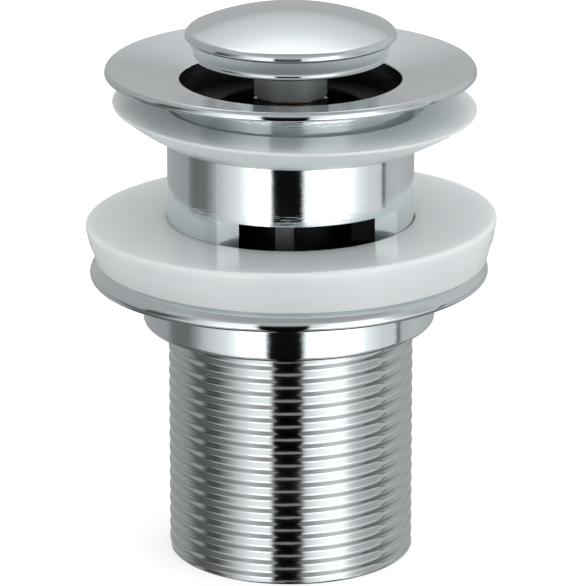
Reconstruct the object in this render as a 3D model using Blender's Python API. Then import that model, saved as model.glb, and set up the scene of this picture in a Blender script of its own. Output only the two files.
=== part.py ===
"""Pop up basin waste with a slotted brass body, a push-push cartridge and a domed plug.

The waste stands on the open end of its threaded tail, with the origin in the middle of that end and +Z up
its axis. It is drawn as sold: plug raised, backnut run up to the end of its thread, both seals loose on the
tube. Turned pieces are profiles of (radius, height) spun round the axis, and the rest is cut from them.
Sizes below are in millimetres.
"""

import math

import bmesh
import bpy

MM = 0.001

# Clearances
SEAT_GAP = 0.3       # between two pieces that rest on each other
SLIDE_GAP = 0.4      # round a piece that slides or turns inside another
FACETS = 40          # flats round a large turned piece
SMALL_FACETS = 24    # flats round a cartridge piece

# Body: flange, tube and tail in one casting
THREAD_OD = 41.9     # G 1 1/4 pipe thread over its crests, and the plain tube above it
BODY_BORE = 36.8
BODY_LENGTH = 85.8   # tail end to the flange's rim
TAIL_CHAMFER = 0.4
FLANGE_OD = 62.8
FLANGE_RIM = 1.4     # height of the rim's outer face
FLANGE_ROUND = 0.45  # of the rim's two corners
FLANGE_WALL = 1.5    # of the dished flange, measured upright
FLANGE_DISH = 2.35   # how far the flange drops from its rim to the mouth
FLANGE_FILLET = 1.2  # where the flange meets the tube
MOUTH_OD = 37.6
SEAT_DEPTH = 4.85    # mouth to the ledge that the plug's seal closes on
SEAT_OPENING = 25.6
SEAT_LAND = 1.8      # thickness of the ledge at its inner edge
SEAT_SLOPE = 2.4     # how far the ledge's underside runs down to the bore

# Overflow windows: two flats milled across the tube
WINDOW_DEPTH = 14.3  # from the axis to the milled flat
WINDOW_TURN = 11.0   # degrees from straight ahead, towards +X
WINDOW_DROP = 22.5   # flange rim to the top of a window
WINDOW_HEIGHT = 8.1

# Cross inside the body, which carries the cartridge
ARM_WIDTH = 3.0
ARM_TURN = -4.0      # degrees from straight ahead, towards +X
ARM_HEIGHT = 9.5
BOSS_OD = 21.0
BOSS_HEIGHT = 11.0
BOSS_STEP = 0.5      # how far the boss stands above the arms

# Plug
CAP_GAP = 0.9        # between the cap and the mouth, all round
CAP_RISE = 4.05
CAP_RIM = 0.95       # height of the cap's upright edge
CAP_ROUND = 0.25     # of that edge's two corners
CAP_WALL = 1.1
SKIRT_STEP = 0.5     # how far the skirt's top lies inside the cap
SKIRT_TAPER = 1.1    # how far it narrows on the way down
SKIRT_HEIGHT = 3.3
SKIRT_WALL = 1.4
SEAL_THICKNESS = 2.4
SEAL_PROUD = 0.1     # how far the seal stands below the skirt
SEAL_BORE = 17.6
RETAINER_OD = 21.6
RETAINER_THICKNESS = 0.9
PLUG_BOSS_OD = 12.3
PLUG_BOSS_LENGTH = 9.2
STUD_OD = 6.0        # the plunger's threaded end
STUD_DEPTH = 8.6     # of the stud's hole in the plug
JAM_NUT_AF = 11.0
JAM_NUT_HEIGHT = 2.6

# Cartridge
TRAVEL = 8.0         # of the plug from raised to shut
HEAD_AF = 18.0
HEAD_HEIGHT = 2.7
HEAD_CHAMFER = 0.5
GASKET_RING = 0.9    # thickness of the fibre ring under the head
SHANK_OD = 14.0
BARREL_BORE = 11.2
LIP_THICKNESS = 4.7  # barrel end that the plunger runs through
ROD_OD = 8.0
WIPER_WIRE = 1.4     # section of the O-ring round the rod
LOCK_NUT_AF = 19.0
LOCK_NUT_HEIGHT = 3.3
PISTON_LENGTH = 6.3
SPINDLE_OD = 4.8
SPINDLE_TAIL = 4.0   # how far the spindle reaches into the spring
TRACK_RISES = 4      # times that the rotor's track climbs and falls
TRACK_DEPTH = 1.2
TRACK_EDGE = 1.1     # metal left above and below the track
PIN_OD = 1.6
THRUST_WASHER = 1.0
SPRING_WIRE = 0.9
SPRING_OD = 9.8
SPRING_SHUT = 10.0   # length with the plug shut
SPRING_TURNS = 7
END_PLUG_REACH = 3.8
END_PLUG_FLANGE = 1.7
END_PLUG_SLOT = 1.6

# Backnut, tapered washer and upper gasket
NUT_SEAT = 33.65     # flange rim down to the backnut's upper face
NUT_FLANGE_OD = 67.9
NUT_FLANGE_HEIGHT = 2.9
NUT_FLANGE_ROUND = 1.5  # between the flange's edge and the cone above it
NUT_CONE = 45.0      # degrees that the cone slopes
NUT_HUB_OD = 49.8
NUT_HUB_HEIGHT = 8.15
NUT_CHAMFER = 0.5
WASHER_TOP_OD = 70.2
WASHER_FOOT_OD = 66.8
WASHER_HEIGHT = 6.85
WASHER_ROUND = 0.6
GASKET_OD = 61.8
GASKET_DROP = 6.7    # flange rim down to the gasket's flat face
GASKET_HEIGHT = 5.4
GASKET_BAND = 1.6    # upright edge below the flat face
GASKET_FOOT_OD = 49.0
GASKET_BORE = 43.8

# Radii that several pieces share
TUBE_R = THREAD_OD / 2
BORE_R = BODY_BORE / 2
MOUTH_R = MOUTH_OD / 2
SEAT_R = SEAT_OPENING / 2
CAP_R = MOUTH_R - CAP_GAP
SKIRT_TOP_R = CAP_R - SKIRT_STEP
SKIRT_FOOT_R = SKIRT_TOP_R - SKIRT_TAPER
SKIRT_INNER_R = SKIRT_FOOT_R - SKIRT_WALL
PLUG_BOSS_R = PLUG_BOSS_OD / 2
STUD_R = STUD_OD / 2
ROD_R = ROD_OD / 2
SHANK_R = SHANK_OD / 2
BARREL_R = BARREL_BORE / 2
PISTON_R = BARREL_R - SLIDE_GAP
SPINDLE_R = SPINDLE_OD / 2
PIN_R = PIN_OD / 2

# Heights, from the flange down to the seat and up again through the raised plug
MOUTH_Z = BODY_LENGTH - FLANGE_DISH
SEAT_Z = MOUTH_Z - SEAT_DEPTH
SEAL_Z = SEAT_Z + SEAT_GAP + TRAVEL
SKIRT_Z = SEAL_Z + SEAL_PROUD
SKIRT_TOP_Z = SKIRT_Z + SKIRT_HEIGHT
SEAL_TOP_Z = SEAL_Z + SEAL_THICKNESS
CARRIER_Z = SEAL_TOP_Z + SEAT_GAP
CAP_Z = SKIRT_TOP_Z + SEAT_GAP
CAP_EDGE_Z = CAP_Z + CAP_RIM
PLUG_BOSS_Z = CARRIER_Z - PLUG_BOSS_LENGTH
JAM_NUT_Z = PLUG_BOSS_Z - SEAT_GAP - JAM_NUT_HEIGHT
ROD_TOP_Z = JAM_NUT_Z - SEAT_GAP

# Heights of the cartridge, whose head the jam nut just clears when the plug is shut
HEAD_TOP_Z = JAM_NUT_Z - TRAVEL - SEAT_GAP
HEAD_Z = HEAD_TOP_Z - HEAD_HEIGHT
RING_Z = HEAD_Z - SEAT_GAP - GASKET_RING
BOSS_TOP_Z = RING_Z - SEAT_GAP
BOSS_Z = BOSS_TOP_Z - BOSS_HEIGHT
ARM_TOP_Z = BOSS_TOP_Z - BOSS_STEP
LOCK_NUT_Z = BOSS_Z - SEAT_GAP - LOCK_NUT_HEIGHT
LIP_Z = HEAD_TOP_Z - LIP_THICKNESS
PISTON_TOP_Z = LIP_Z - SEAT_GAP
PISTON_Z = PISTON_TOP_Z - PISTON_LENGTH

# The rotor's track is a zigzag band; its upright half height keeps the pin's clearance on the slopes
STEP_ANGLE = math.pi / TRACK_RISES
ROTOR_R = PISTON_R
TRACK_HALF = (PIN_R + SEAT_GAP) * math.hypot(1.0, TRAVEL / (STEP_ANGLE * ROTOR_R))
ROTOR_LENGTH = TRAVEL + 2 * (TRACK_HALF + TRACK_EDGE)
ROTOR_Z = PISTON_Z - SEAT_GAP - ROTOR_LENGTH
PIN_Z = ROTOR_Z + TRACK_EDGE + TRACK_HALF
THRUST_Z = ROTOR_Z - SEAT_GAP - THRUST_WASHER
SPRING_TOP_Z = THRUST_Z - SEAT_GAP
SPRING_Z = SPRING_TOP_Z - SPRING_SHUT - TRAVEL
BARREL_Z = SPRING_Z - SEAT_GAP - END_PLUG_REACH

NUT_TOP_Z = BODY_LENGTH - NUT_SEAT
WASHER_Z = NUT_TOP_Z + SEAT_GAP
GASKET_TOP_Z = BODY_LENGTH - GASKET_DROP


def material(name, colour, metallic, roughness):
    """A Principled material; colour is linear red, green and blue."""
    made = bpy.data.materials.new(name)
    made.use_nodes = True
    shader = made.node_tree.nodes["Principled BSDF"]
    shader.inputs["Base Color"].default_value = (*colour, 1.0)
    shader.inputs["Metallic"].default_value = metallic
    shader.inputs["Roughness"].default_value = roughness
    return made


def add_object(name, shape, finish, x=0.0, z=0.0):
    """Turns a bmesh in millimetres into a smooth object whose origin is at (x, 0, z)."""
    bmesh.ops.scale(shape, vec=(MM, MM, MM), verts=shape.verts)
    bmesh.ops.recalc_face_normals(shape, faces=shape.faces)
    mesh = bpy.data.meshes.new(name)
    shape.to_mesh(mesh)
    shape.free()
    mesh.shade_smooth()
    mesh.set_sharp_from_angle(angle=math.radians(35))
    piece = bpy.data.objects.new(name, mesh)
    piece.location = (x * MM, 0.0, z * MM)
    bpy.context.scene.collection.objects.link(piece)
    if finish:
        mesh.materials.append(finish)
    return piece


def spun(profile, facets):
    """Spins a profile of (radius, height) round the axis. One that starts and ends off the axis is a ring."""
    shape = bmesh.new()
    points = [shape.verts.new((radius, 0.0, height)) for radius, height in profile]
    pairs = list(zip(points, points[1:]))
    if profile[0][0] > 0:
        pairs.append((points[-1], points[0]))
    edges = [shape.edges.new(pair) for pair in pairs]
    bmesh.ops.spin(
        shape, geom=points + edges, axis=(0, 0, 1), cent=(0, 0, 0),
        steps=facets, angle=2 * math.pi, use_merge=True,
    )
    bmesh.ops.remove_doubles(shape, verts=shape.verts, dist=0.0005)
    return shape


def turned(name, profile, finish, x=0.0, z=0.0, facets=FACETS):
    return add_object(name, spun(profile, facets), finish, x, z)


def round_corner(centre, radius, start, end, steps=4):
    """Points of an arc about (radius, height), from one angle to another in degrees."""
    angles = [math.radians(start + (end - start) * i / steps) for i in range(steps + 1)]
    return [(centre[0] + radius * math.cos(a), centre[1] + radius * math.sin(a)) for a in angles]


def dome(radius, edge_z, rise, steps):
    """A dome from its top on the axis out to its edge."""
    ball = (radius ** 2 + rise ** 2) / (2 * rise)
    angles = [math.asin(radius / ball) * i / steps for i in range(steps + 1)]
    return [(ball * math.sin(a), edge_z + rise - ball * (1 - math.cos(a))) for a in angles]


def block(name, size, centre, turn=0.0):
    """A helper box, turned about the axis after it is placed."""
    shape = bmesh.new()
    bmesh.ops.create_cube(shape, size=1.0)
    bmesh.ops.scale(shape, vec=size, verts=shape.verts)
    bmesh.ops.translate(shape, vec=centre, verts=shape.verts)
    helper = add_object(name, shape, None)
    helper.rotation_euler = (0.0, 0.0, math.radians(turn))
    return as_helper(helper)


def band(name, count, inner, outer, lower, upper):
    """A helper ring of count columns, whose lower and upper edges are functions of the angle."""
    shape = bmesh.new()
    columns = []
    for i in range(count):
        angle = 2 * math.pi * i / count
        corners = ((inner, lower(angle)), (inner, upper(angle)), (outer, upper(angle)), (outer, lower(angle)))
        columns.append([
            shape.verts.new((radius * math.cos(angle), radius * math.sin(angle), height))
            for radius, height in corners
        ])
    for here, there in zip(columns, columns[1:] + columns[:1]):
        for i in range(4):
            j = (i + 1) % 4
            shape.faces.new((here[i], here[j], there[j], there[i]))
    return as_helper(add_object(name, shape, None))


def as_helper(piece):
    piece.hide_render = True
    piece.display_type = "WIRE"
    return piece


def combine(piece, helper, operation):
    step = piece.modifiers.new(helper.name, "BOOLEAN")
    step.operation = operation
    step.solver = "EXACT"
    step.object = helper


def cut_hexagon(piece, across_flats, low, high):
    """Trims a turned piece to a hexagon between two heights of its own frame."""
    corner = across_flats / math.sqrt(3)
    trim = band(f"{piece.name}_hexagon", 6, corner, 2 * corner, lambda a: low, lambda a: high)
    trim.location = piece.location
    combine(piece, trim, "DIFFERENCE")


def make_cross():
    """Helper: four arms that reach from the middle into the body's wall."""
    half = ARM_WIDTH / 2
    reach = (BORE_R + TUBE_R) / 2
    arm = [(half, half), (half, reach), (-half, reach)]
    outline = []
    for _ in range(4):
        outline += arm
        arm = [(-y, x) for x, y in arm]
    shape = bmesh.new()
    face = shape.faces.new([shape.verts.new((x, y, 0.0)) for x, y in outline])
    grown = bmesh.ops.extrude_face_region(shape, geom=[face])["geom"]
    raised = [item for item in grown if isinstance(item, bmesh.types.BMVert)]
    bmesh.ops.translate(shape, vec=(0.0, 0.0, ARM_HEIGHT), verts=raised)
    cross = add_object("cross_arms", shape, None, z=ARM_TOP_Z - ARM_HEIGHT)
    cross.rotation_euler = (0.0, 0.0, math.radians(ARM_TURN))
    return as_helper(cross)


def make_body(finish):
    """Flange, tube and tail in one profile, then the cross, the windows milled across it and the boss."""
    rim_r = FLANGE_OD / 2
    corner = FLANGE_ROUND
    rim_z = BODY_LENGTH - FLANGE_RIM
    slope = FLANGE_DISH / (rim_r - MOUTH_R)
    under_r = TUBE_R + FLANGE_FILLET
    under_z = MOUTH_Z + slope * (under_r - MOUTH_R) - FLANGE_WALL
    mouth_round = (MOUTH_R - BORE_R) * 1.5
    seat_under_z = SEAT_Z - SEAT_LAND - SEAT_SLOPE
    profile = [
        (BORE_R, MOUTH_Z - 2 * mouth_round),
        (BORE_R + 0.35 * (MOUTH_R - BORE_R), MOUTH_Z - 0.8 * mouth_round),
        (MOUTH_R, MOUTH_Z - 0.2 * mouth_round),
        (MOUTH_R + mouth_round, MOUTH_Z + slope * mouth_round),
        (rim_r - 3 * corner, BODY_LENGTH - 2 * slope * corner),
        *round_corner((rim_r - corner, BODY_LENGTH - corner), corner, 90, 0, 3),
        *round_corner((rim_r - corner, rim_z + corner), corner, 0, -90, 3),
        (rim_r - 3 * corner, rim_z - 2 * slope * corner),
        *round_corner((under_r, under_z - FLANGE_FILLET), FLANGE_FILLET, 90, 180),
        (TUBE_R, TAIL_CHAMFER),
        (TUBE_R - TAIL_CHAMFER, 0.0),
        (BORE_R + TAIL_CHAMFER / 2, 0.0),
        (BORE_R, TAIL_CHAMFER / 2),
        (BORE_R, seat_under_z),
        (SEAT_R, SEAT_Z - SEAT_LAND),
        (SEAT_R, SEAT_Z),
        (BORE_R, SEAT_Z),
    ]
    body = turned("waste_body", profile, finish)
    combine(body, make_cross(), "UNION")
    cut_depth = 2 * (TUBE_R - WINDOW_DEPTH)
    cut_size = (2 * THREAD_OD, cut_depth, WINDOW_HEIGHT)
    cut_middle = (0.0, -WINDOW_DEPTH - cut_depth / 2, BODY_LENGTH - WINDOW_DROP - WINDOW_HEIGHT / 2)
    for name, turn in (("front_window", WINDOW_TURN), ("rear_window", WINDOW_TURN + 180)):
        combine(body, block(name, cut_size, cut_middle, turn), "DIFFERENCE")
    boss = turned("cross_boss", [
        (0.0, BOSS_TOP_Z), (BOSS_OD / 2, BOSS_TOP_Z), (BOSS_OD / 2, BOSS_Z), (0.0, BOSS_Z),
    ], None, facets=SMALL_FACETS)
    combine(body, as_helper(boss), "UNION")
    hole_r = SHANK_R + SEAT_GAP
    hole = turned("boss_hole", [
        (0.0, BOSS_TOP_Z + 1), (hole_r, BOSS_TOP_Z + 1), (hole_r, BOSS_Z - 1), (0.0, BOSS_Z - 1),
    ], None, facets=SMALL_FACETS)
    combine(body, as_helper(hole), "DIFFERENCE")
    return body


def make_cap(finish):
    """The chromed dome with its upright edge, open below."""
    inner_edge_z = CAP_Z + CAP_RIM - CAP_WALL / 3
    inner_r = CAP_R - CAP_WALL
    inside = dome(inner_r, inner_edge_z, CAP_EDGE_Z + CAP_RISE - CAP_WALL - inner_edge_z, 4)
    corner = CAP_ROUND
    profile = [
        *dome(CAP_R - corner / 2, CAP_EDGE_Z, CAP_RISE, 7),
        *round_corner((CAP_R - corner, CAP_EDGE_Z - corner), corner, 45, 0, 2),
        *round_corner((CAP_R - corner, CAP_Z + corner), corner, 0, -90, 2),
        (inner_r, CAP_Z),
        *reversed(inside),
    ]
    return turned("plug_cap", [(r, h - CAP_Z) for r, h in profile], finish, z=CAP_Z)


def make_carrier(finish):
    """Tapered skirt, disc and threaded boss in one turning, filling the dome from below."""
    dome_r = CAP_R - CAP_WALL - SEAT_GAP
    dome_edge_z = CAP_Z + CAP_RIM - CAP_WALL / 3 - SEAT_GAP
    dome_rise = CAP_EDGE_Z + CAP_RISE - CAP_WALL - SEAT_GAP - dome_edge_z
    stud_r = STUD_R + SEAT_GAP
    stud_top_z = PLUG_BOSS_Z + STUD_DEPTH
    foot_round = SKIRT_WALL / 2
    profile = [
        *dome(dome_r, dome_edge_z, dome_rise, 4),
        (dome_r, SKIRT_TOP_Z),
        (SKIRT_TOP_R, SKIRT_TOP_Z),
        *round_corner((SKIRT_FOOT_R - foot_round, SKIRT_Z + foot_round), foot_round, 15, -165, 4),
        (SKIRT_INNER_R, CARRIER_Z),
        (PLUG_BOSS_R, CARRIER_Z),
        (PLUG_BOSS_R, PLUG_BOSS_Z),
        (stud_r, PLUG_BOSS_Z),
        (stud_r, stud_top_z),
        (0.0, stud_top_z),
    ]
    return turned("plug_carrier", [(r, h - SKIRT_Z) for r, h in profile], finish, z=SKIRT_Z)


def make_seal(finish):
    """Flat rubber ring with a small bead on its lower outer edge."""
    outer = SKIRT_INNER_R - SEAT_GAP
    inner = SEAL_BORE / 2
    bead = SEAL_THICKNESS / 6
    profile = [
        (inner, SEAL_THICKNESS), (outer - bead, SEAL_THICKNESS), (outer, SEAL_THICKNESS - bead),
        (outer, bead), (outer - bead, 0.0), (outer - 5 * bead, 0.0), (outer - 6 * bead, bead), (inner, bead),
    ]
    return turned("plug_seal", profile, finish, z=SEAL_Z)


def make_retainer(finish):
    """Ring on the plug's boss that holds the seal up, with a dished rim."""
    inner = PLUG_BOSS_R + SEAT_GAP
    outer = RETAINER_OD / 2
    lift = SEAL_THICKNESS / 6
    top = SEAL_Z + lift - SEAT_GAP
    profile = [
        (inner, RETAINER_THICKNESS), (outer - RETAINER_THICKNESS / 2, RETAINER_THICKNESS),
        (outer, RETAINER_THICKNESS / 2), (outer - RETAINER_THICKNESS / 2, 0.0), (inner, 0.0),
    ]
    return turned("seal_retainer", profile, finish, z=top - RETAINER_THICKNESS, facets=SMALL_FACETS)


def make_nut(name, across_flats, bore, height, finish, z):
    """A hexagon nut with both ends chamfered."""
    corner = across_flats / math.sqrt(3) - HEAD_CHAMFER / 4
    chamfer = HEAD_CHAMFER
    bore_r = bore / 2
    profile = [
        (bore_r, height), (corner - chamfer, height), (corner, height - chamfer / 2),
        (corner, chamfer / 2), (corner - chamfer, 0.0), (bore_r, 0.0),
    ]
    nut = turned(name, profile, finish, z=z, facets=SMALL_FACETS)
    cut_hexagon(nut, across_flats, -1.0, height + 1.0)
    return nut


def make_barrel(finish):
    """Cartridge housing: hexagon head, threaded shank, closed by a lip with an O-ring groove."""
    corner = HEAD_AF / math.sqrt(3) - HEAD_CHAMFER / 4
    lip_r = ROD_R + SEAT_GAP
    groove_r = lip_r + WIPER_WIRE + SEAT_GAP
    groove_half = WIPER_WIRE / 2 + SEAT_GAP
    groove_z = HEAD_TOP_Z - LIP_THICKNESS / 2
    profile = [
        (lip_r, HEAD_TOP_Z), (corner - HEAD_CHAMFER, HEAD_TOP_Z), (corner, HEAD_TOP_Z - HEAD_CHAMFER / 2),
        (corner, HEAD_Z), (SHANK_R, HEAD_Z), (SHANK_R, BARREL_Z + HEAD_CHAMFER),
        (SHANK_R - HEAD_CHAMFER, BARREL_Z), (BARREL_R, BARREL_Z), (BARREL_R, LIP_Z), (lip_r, LIP_Z),
        (lip_r, groove_z - groove_half), (groove_r, groove_z - groove_half),
        (groove_r, groove_z + groove_half), (lip_r, groove_z + groove_half),
    ]
    barrel = turned("cartridge_barrel", [(r, h - HEAD_Z) for r, h in profile], finish,
                    z=HEAD_Z, facets=SMALL_FACETS)
    cut_hexagon(barrel, HEAD_AF, -SEAT_GAP / 2, HEAD_HEIGHT + 1.0)
    shape = bmesh.new()
    bmesh.ops.create_cone(
        shape, cap_ends=True, segments=16, radius1=PIN_R + SEAT_GAP, radius2=PIN_R + SEAT_GAP, depth=SHANK_OD,
    )
    pin_hole = add_object("pin_hole", shape, None, z=PIN_Z)
    pin_hole.rotation_euler = (0.0, math.radians(90), 0.0)
    pin_hole.location.x = SHANK_R * MM
    combine(barrel, as_helper(pin_hole), "DIFFERENCE")
    return barrel


def make_pin(finish):
    """Steel pin through the barrel's wall; its inner end runs in the rotor's track."""
    inner = ROTOR_R - TRACK_DEPTH + SEAT_GAP
    length = SHANK_R - inner
    shape = bmesh.new()
    bmesh.ops.create_cone(shape, cap_ends=True, segments=16, radius1=PIN_R, radius2=PIN_R, depth=length)
    pin = add_object("latch_pin", shape, finish, x=inner + length / 2, z=PIN_Z)
    pin.rotation_euler = (0.0, math.radians(90), 0.0)
    return pin


def make_end_plug(finish):
    """Screw plug that carries the spring, with a driver slot across its flange."""
    plug_r = BARREL_R - SEAT_GAP
    relief_r = SPRING_OD / 2 - 2 * SPRING_WIRE
    top = END_PLUG_REACH + END_PLUG_FLANGE + SEAT_GAP
    profile = [
        (0.0, top - SPRING_WIRE), (relief_r, top - SPRING_WIRE), (relief_r, top), (plug_r, top),
        (plug_r, END_PLUG_FLANGE), (SHANK_R, END_PLUG_FLANGE), (SHANK_R, HEAD_CHAMFER),
        (SHANK_R - HEAD_CHAMFER, 0.0), (0.0, 0.0),
    ]
    bottom = BARREL_Z - SEAT_GAP - END_PLUG_FLANGE
    plug = turned("barrel_end_plug", profile, finish, z=bottom, facets=SMALL_FACETS)
    slot = block("driver_slot", (2 * SHANK_OD, END_PLUG_SLOT, END_PLUG_FLANGE), (0.0, 0.0, bottom))
    combine(plug, slot, "DIFFERENCE")
    return plug


def make_plunger(finish):
    """Stud for the plug, rod, piston and spindle in one turning."""
    foot_z = SPRING_TOP_Z - SPINDLE_TAIL
    tip = STUD_R / 4
    stud_top_z = PLUG_BOSS_Z + STUD_DEPTH - SEAT_GAP
    profile = [
        (0.0, stud_top_z), (STUD_R - tip, stud_top_z), (STUD_R, stud_top_z - tip), (STUD_R, ROD_TOP_Z),
        (ROD_R, ROD_TOP_Z), (ROD_R, PISTON_TOP_Z), (PISTON_R, PISTON_TOP_Z), (PISTON_R, PISTON_Z),
        (SPINDLE_R, PISTON_Z), (SPINDLE_R, foot_z + tip), (SPINDLE_R - tip, foot_z), (0.0, foot_z),
    ]
    return turned("plunger", [(r, h - PISTON_Z) for r, h in profile], finish,
                  z=PISTON_Z, facets=SMALL_FACETS)


def make_wiper(finish):
    """O-ring in the barrel's lip."""
    centre = ROD_R + SEAT_GAP + WIPER_WIRE / 2
    ring = round_corner((centre, 0.0), WIPER_WIRE / 2, 90, -225, 7)
    return turned("plunger_wiper", ring, finish, z=HEAD_TOP_Z - LIP_THICKNESS / 2, facets=SMALL_FACETS)


def make_rotor(finish):
    """Sleeve that turns on the spindle, with a zigzag track cut round it for the pin."""
    inner = SPINDLE_R + SEAT_GAP
    rotor = turned("latch_rotor", [
        (inner, ROTOR_LENGTH), (ROTOR_R, ROTOR_LENGTH), (ROTOR_R, 0.0), (inner, 0.0),
    ], finish, z=ROTOR_Z, facets=6 * 2 * TRACK_RISES)

    def track(angle):
        """Height of the track's middle line: lowest at the pin, highest half a rise further round."""
        share = (angle / STEP_ANGLE) % 2
        return TRACK_EDGE + TRACK_HALF + TRAVEL * min(share, 2 - share)

    groove = band(
        "rotor_track", 6 * 2 * TRACK_RISES, ROTOR_R - TRACK_DEPTH, ROTOR_R + 1.0,
        lambda a: track(a) - TRACK_HALF, lambda a: track(a) + TRACK_HALF,
    )
    groove.location = rotor.location
    combine(rotor, groove, "DIFFERENCE")
    return rotor


def make_spring(finish):
    """Compression spring with a closed coil at each end, drawn with the plug raised."""
    length = SPRING_SHUT + TRAVEL
    wire_r = SPRING_WIRE / 2
    radius = SPRING_OD / 2 - wire_r
    per_turn = 12
    closed_pitch = SPRING_WIRE * 1.15
    open_rise = length - SPRING_WIRE - 2 * closed_pitch
    points = []
    for i in range(SPRING_TURNS * per_turn + 1):
        turn = i / per_turn
        closed = min(turn, 1.0) + max(turn - (SPRING_TURNS - 1), 0.0)
        opened = min(max(turn - 1.0, 0.0), SPRING_TURNS - 2.0)
        height = wire_r + closed * closed_pitch + open_rise * opened / (SPRING_TURNS - 2)
        angle = 2 * math.pi * turn
        points.append((radius * math.cos(angle) * MM, radius * math.sin(angle) * MM, height * MM, 1.0))
    curve = bpy.data.curves.new("return_spring", "CURVE")
    curve.dimensions = "3D"
    curve.bevel_depth = wire_r * MM
    curve.bevel_resolution = 1
    curve.use_fill_caps = True
    wire = curve.splines.new("POLY")
    wire.points.add(len(points) - 1)
    for point, place in zip(wire.points, points):
        point.co = place
    curve.materials.append(finish)
    spring = bpy.data.objects.new("return_spring", curve)
    spring.location.z = SPRING_Z * MM
    bpy.context.scene.collection.objects.link(spring)
    return spring


def make_ring(name, inner, outer, height, finish, z):
    profile = [(inner, height), (outer, height), (outer, 0.0), (inner, 0.0)]
    return turned(name, profile, finish, z=z, facets=SMALL_FACETS)


def make_backnut(finish):
    """Round flanged nut: a cone above the flange's rounded edge, a plain hub below."""
    flange_r = NUT_FLANGE_OD / 2
    hub_r = NUT_HUB_OD / 2
    bore = TUBE_R + SEAT_GAP
    height = NUT_FLANGE_HEIGHT + NUT_HUB_HEIGHT
    edge_z = NUT_HUB_HEIGHT + NUT_CHAMFER
    edge = round_corner((flange_r - NUT_FLANGE_ROUND, edge_z), NUT_FLANGE_ROUND, NUT_CONE, 0)
    cone_r = edge[0][0] - (height - edge[0][1]) / math.tan(math.radians(NUT_CONE))
    profile = [
        (bore, height), (cone_r, height), *edge,
        *round_corner((flange_r - NUT_CHAMFER, edge_z), NUT_CHAMFER, 0, -90, 3),
        (hub_r, NUT_HUB_HEIGHT), (hub_r, NUT_CHAMFER),
        (hub_r - NUT_CHAMFER, 0.0), (bore + NUT_CHAMFER, 0.0), (bore, NUT_CHAMFER),
    ]
    return turned("backnut", profile, finish, z=NUT_TOP_Z - height)


def make_washer(finish):
    """Thick tapered washer lying on the backnut."""
    foot_r = WASHER_FOOT_OD / 2
    top_r = WASHER_TOP_OD / 2
    bore_r = TUBE_R + SEAT_GAP
    belly = (top_r - foot_r) * 0.62
    profile = [
        (bore_r, WASHER_HEIGHT),
        *round_corner((top_r - WASHER_ROUND, WASHER_HEIGHT - WASHER_ROUND), WASHER_ROUND, 90, -10, 3),
        (foot_r + belly, WASHER_HEIGHT / 2),
        (foot_r, 0.0),
        (bore_r, 0.0),
    ]
    return turned("tapered_washer", profile, finish, z=WASHER_Z)


def make_gasket(finish):
    """Thin gasket, slack on the tube: flat face up, short upright edge, rounded taper to a narrow foot."""
    outer = GASKET_OD / 2
    foot = GASKET_FOOT_OD / 2
    bore_r = GASKET_BORE / 2
    taper = GASKET_HEIGHT - GASKET_BAND
    curve = [
        (foot + (outer - foot) * math.sin(a), taper * (1 - math.cos(a)))
        for a in (math.pi / 2 * i / 5 for i in range(5, -1, -1))
    ]
    profile = [
        (bore_r, GASKET_HEIGHT), (outer - GASKET_BAND / 5, GASKET_HEIGHT),
        (outer, GASKET_HEIGHT - GASKET_BAND / 5), *curve, (bore_r, 0.0),
    ]
    aside = bore_r - TUBE_R - SEAT_GAP
    return turned("upper_gasket", profile, finish, x=aside, z=GASKET_TOP_Z - GASKET_HEIGHT)


def main():
    for old in list(bpy.data.objects):
        bpy.data.objects.remove(old)
    chrome = material("chrome_plate", (0.62, 0.63, 0.64), 1.0, 0.07)
    brass = material("bare_brass", (0.60, 0.42, 0.17), 1.0, 0.28)
    steel = material("stainless_steel", (0.50, 0.50, 0.49), 1.0, 0.30)
    poly = material("milky_polythene", (0.66, 0.68, 0.68), 0.0, 0.32)
    rubber = material("black_rubber", (0.02, 0.02, 0.02), 0.0, 0.60)
    acetal = material("white_acetal", (0.75, 0.75, 0.72), 0.0, 0.35)
    fibre = material("red_fibre", (0.30, 0.05, 0.03), 0.0, 0.80)

    make_body(chrome)
    make_cap(chrome)
    make_carrier(chrome)
    make_seal(rubber)
    make_retainer(acetal)
    make_nut("plug_jam_nut", JAM_NUT_AF, STUD_OD + 2 * SEAT_GAP, JAM_NUT_HEIGHT, brass, JAM_NUT_Z)
    make_plunger(brass)
    make_wiper(rubber)
    make_barrel(brass)
    make_ring("barrel_washer", SHANK_R + SEAT_GAP, HEAD_AF / 2, GASKET_RING, fibre, RING_Z)
    make_nut("barrel_lock_nut", LOCK_NUT_AF, SHANK_OD + 2 * SEAT_GAP, LOCK_NUT_HEIGHT, brass, LOCK_NUT_Z)
    make_pin(steel)
    make_rotor(acetal)
    make_ring("thrust_washer", SPINDLE_R + SEAT_GAP, PISTON_R, THRUST_WASHER, steel, THRUST_Z)
    make_spring(steel)
    make_end_plug(brass)
    make_backnut(chrome)
    make_washer(poly)
    make_gasket(poly)


main()
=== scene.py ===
"""The finished look of the pop up basin waste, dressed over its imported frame.

The frame gives every piece its place, in metres, with the tail's open end at the origin and +Z up the axis.
Sizes below are in millimetres. Turned pieces are profiles of (radius, height) carried round the axis.
"""

import math

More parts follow.
